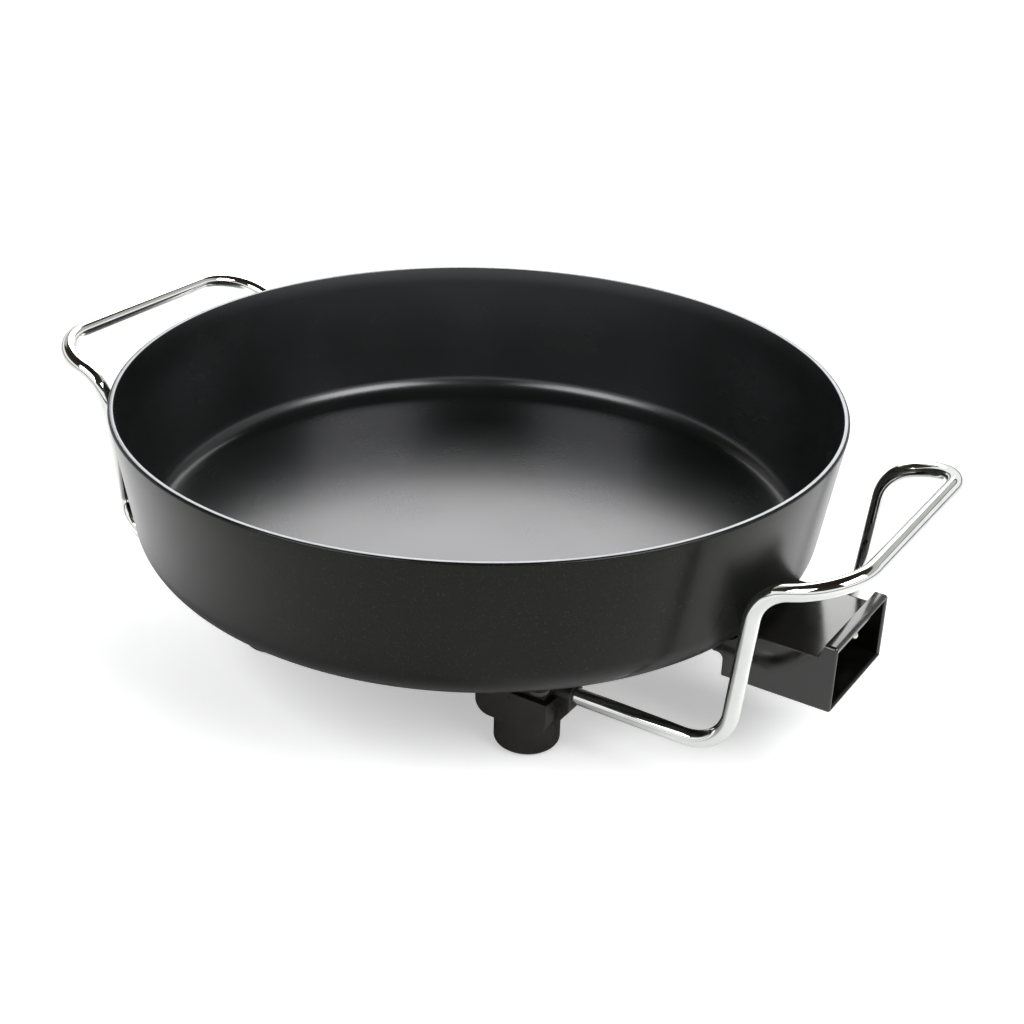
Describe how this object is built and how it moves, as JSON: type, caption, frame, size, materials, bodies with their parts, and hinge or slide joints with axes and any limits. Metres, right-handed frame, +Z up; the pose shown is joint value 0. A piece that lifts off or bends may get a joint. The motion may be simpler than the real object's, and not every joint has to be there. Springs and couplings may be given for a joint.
{
  "type": "electric skillet",
  "caption": "Round deep electric skillet with a dark non-stick pan, bent chrome wire handles, moulded feet and a socket for a plug-in thermostat.",
  "frame": {"origin": "on the ground under the pan's centre, which is the middle of the bounding box's bottom", "axes": "+Z up, +X towards the thermostat socket and the right handle, -Y towards the front"},
  "size_m": [0.4268, 0.3346, 0.128],
  "materials": {
    "pan_coating": "matt charcoal coating outside, satin non-stick inside, bare rim",
    "wire": "bright chrome plating",
    "feet": "semi-gloss phenolic",
    "saddles": "matt phenolic",
    "pads": "matt silicone rubber",
    "screws": "zinc plate",
    "element": "dull heat-tinted sheath",
    "clamp": "satin sheet",
    "shroud": "glossy phenolic",
    "pins": "bright nickel plate",
    "beads": "matt steatite",
    "tube": "drawn steel",
    "brass": "satin spring brass"
  },
  "bodies": {
    "root": {"pan": "pan_coating", "handle_right": "wire", "handle_left": "wire", "foot_front_right": "feet", "foot_front_left": "feet", "foot_back_right": "feet", "foot_back_left": "feet", "saddle_front_right": "saddles", "saddle_front_left": "saddles", "saddle_back_right": "saddles", "saddle_back_left": "saddles", "pad_front_right": "pads", "pad_front_left": "pads", "pad_back_right": "pads", "pad_back_left": "pads", "foot_screws": "screws", "foot_washers": "screws", "heating_element": "element", "element_clamp_ring": "clamp", "clamp_screws": "screws", "socket_shroud": "shroud", "terminal_plate": "clamp", "socket_screws": "screws", "terminal_pin_front": "pins", "terminal_pin_back": "pins", "ceramic_bead_front": "beads", "ceramic_bead_back": "beads", "probe_tube": "tube", "earth_strip": "brass", "earth_rivet": "screws"}
  },
  "joints": []
}
